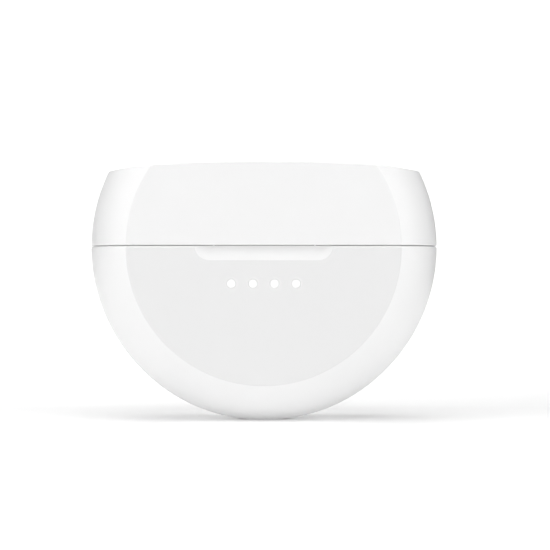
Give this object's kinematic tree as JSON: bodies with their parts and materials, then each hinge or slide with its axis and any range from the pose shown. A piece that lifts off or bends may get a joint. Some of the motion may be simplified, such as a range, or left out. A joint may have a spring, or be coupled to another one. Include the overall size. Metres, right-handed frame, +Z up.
{
  "type": "wireless earbuds case",
  "caption": "Round-edged pocket charging case for a pair of wireless earbuds, with a rear-hinged lid, thumb recess, status lights, shaped pockets and sprung charging contacts.",
  "frame": {"origin": "middle of the small flat foot, under the middle of the case", "axes": "+X along the case's width to its right, +Y from its front to its hinged back, +Z up, lid shut"},
  "size_m": [0.06, 0.025, 0.0449],
  "materials": {
    "shell_plastic": "white, satin to gloss",
    "cradle_plastic": "white, fine matt",
    "light_guide_plastic": "clear diffusing, lit white",
    "board_laminate": "dark green solder resist",
    "led_package": "pale, lit",
    "chip_plastic": "black moulding compound",
    "flex_film": "amber film",
    "switch_steel": "satin",
    "receptacle_steel": "drawn, bright",
    "gold_plate": "gold plated",
    "cell_foil": "pouch foil",
    "foam_tape": "double-sided foam tape",
    "lead_sleeve": "silicone sleeve",
    "magnet_nickel": "nickel plated",
    "hinge_steel": "stainless",
    "screw_steel": "zinc plated"
  },
  "bodies": {
    "base": {"base_shell": "shell_plastic", "cradle": "cradle_plastic", "light_guide": "light_guide_plastic", "led_board": "board_laminate", "status_leds": "led_package", "hall_sensor": "chip_plastic", "led_flex": "flex_film", "main_board": "board_laminate", "board_chips": "chip_plastic", "tact_switch": "switch_steel", "usb_receptacle_shell": "receptacle_steel", "usb_receptacle_tongue": "chip_plastic", "usb_receptacle_contacts": "gold_plate", "battery_cell": "cell_foil", "battery_tape": "foam_tape", "battery_leads": "lead_sleeve", "contact_boards": "board_laminate", "contact_flexes": "flex_film", "contact_barrels": "gold_plate", "base_magnets": "magnet_nickel", "pocket_magnets": "magnet_nickel", "base_hinge_leaf": "hinge_steel", "hinge_pin": "hinge_steel", "base_hinge_screws": "screw_steel", "contact_spring_1": "hinge_steel", "contact_spring_2": "hinge_steel", "contact_spring_3": "hinge_steel", "contact_spring_4": "hinge_steel"},
    "lid": {"lid_shell": "shell_plastic", "lid_liner": "cradle_plastic", "lid_magnets": "magnet_nickel", "lid_hinge_leaf": "hinge_steel", "lid_hinge_screws": "screw_steel"},
    "button": {"pairing_button": "cradle_plastic", "switch_plunger": "chip_plastic"},
    "contact_1": {"contact_plunger_1": "gold_plate"},
    "contact_2": {"contact_plunger_2": "gold_plate"},
    "contact_3": {"contact_plunger_3": "gold_plate"},
    "contact_4": {"contact_plunger_4": "gold_plate"}
  },
  "joints": [
    {"name": "lid_hinge", "type": "hinge", "parent": "base", "child": "lid", "pos_m": [0, 0.01125, 0.03], "axis": [-1, 0, 0], "range_deg": [0, 95]},
    {"name": "button_press", "type": "slide", "parent": "base", "child": "button", "axis": [0, 0, -1], "range_m": [0, 0.0003], "stiffness_N_per_m": 3000, "springref_m": -0.0001},
    {"name": "contact_1_press", "type": "slide", "parent": "base", "child": "contact_1", "axis": [0, 0, -1], "range_m": [0, 0.0007], "stiffness_N_per_m": 300, "springref_m": -0.0005, "deforming": ["contact_spring_1"]},
    {"name": "contact_2_press", "type": "slide", "parent": "base", "child": "contact_2", "axis": [0, 0, -1], "range_m": [0, 0.0007], "stiffness_N_per_m": 300, "springref_m": -0.0005, "deforming": ["contact_spring_2"]},
    {"name": "contact_3_press", "type": "slide", "parent": "base", "child": "contact_3", "axis": [0, 0, -1], "range_m": [0, 0.0007], "stiffness_N_per_m": 300, "springref_m": -0.0005, "deforming": ["contact_spring_3"]},
    {"name": "contact_4_press", "type": "slide", "parent": "base", "child": "contact_4", "axis": [0, 0, -1], "range_m": [0, 0.0007], "stiffness_N_per_m": 300, "springref_m": -0.0005, "deforming": ["contact_spring_4"]}
  ]
}
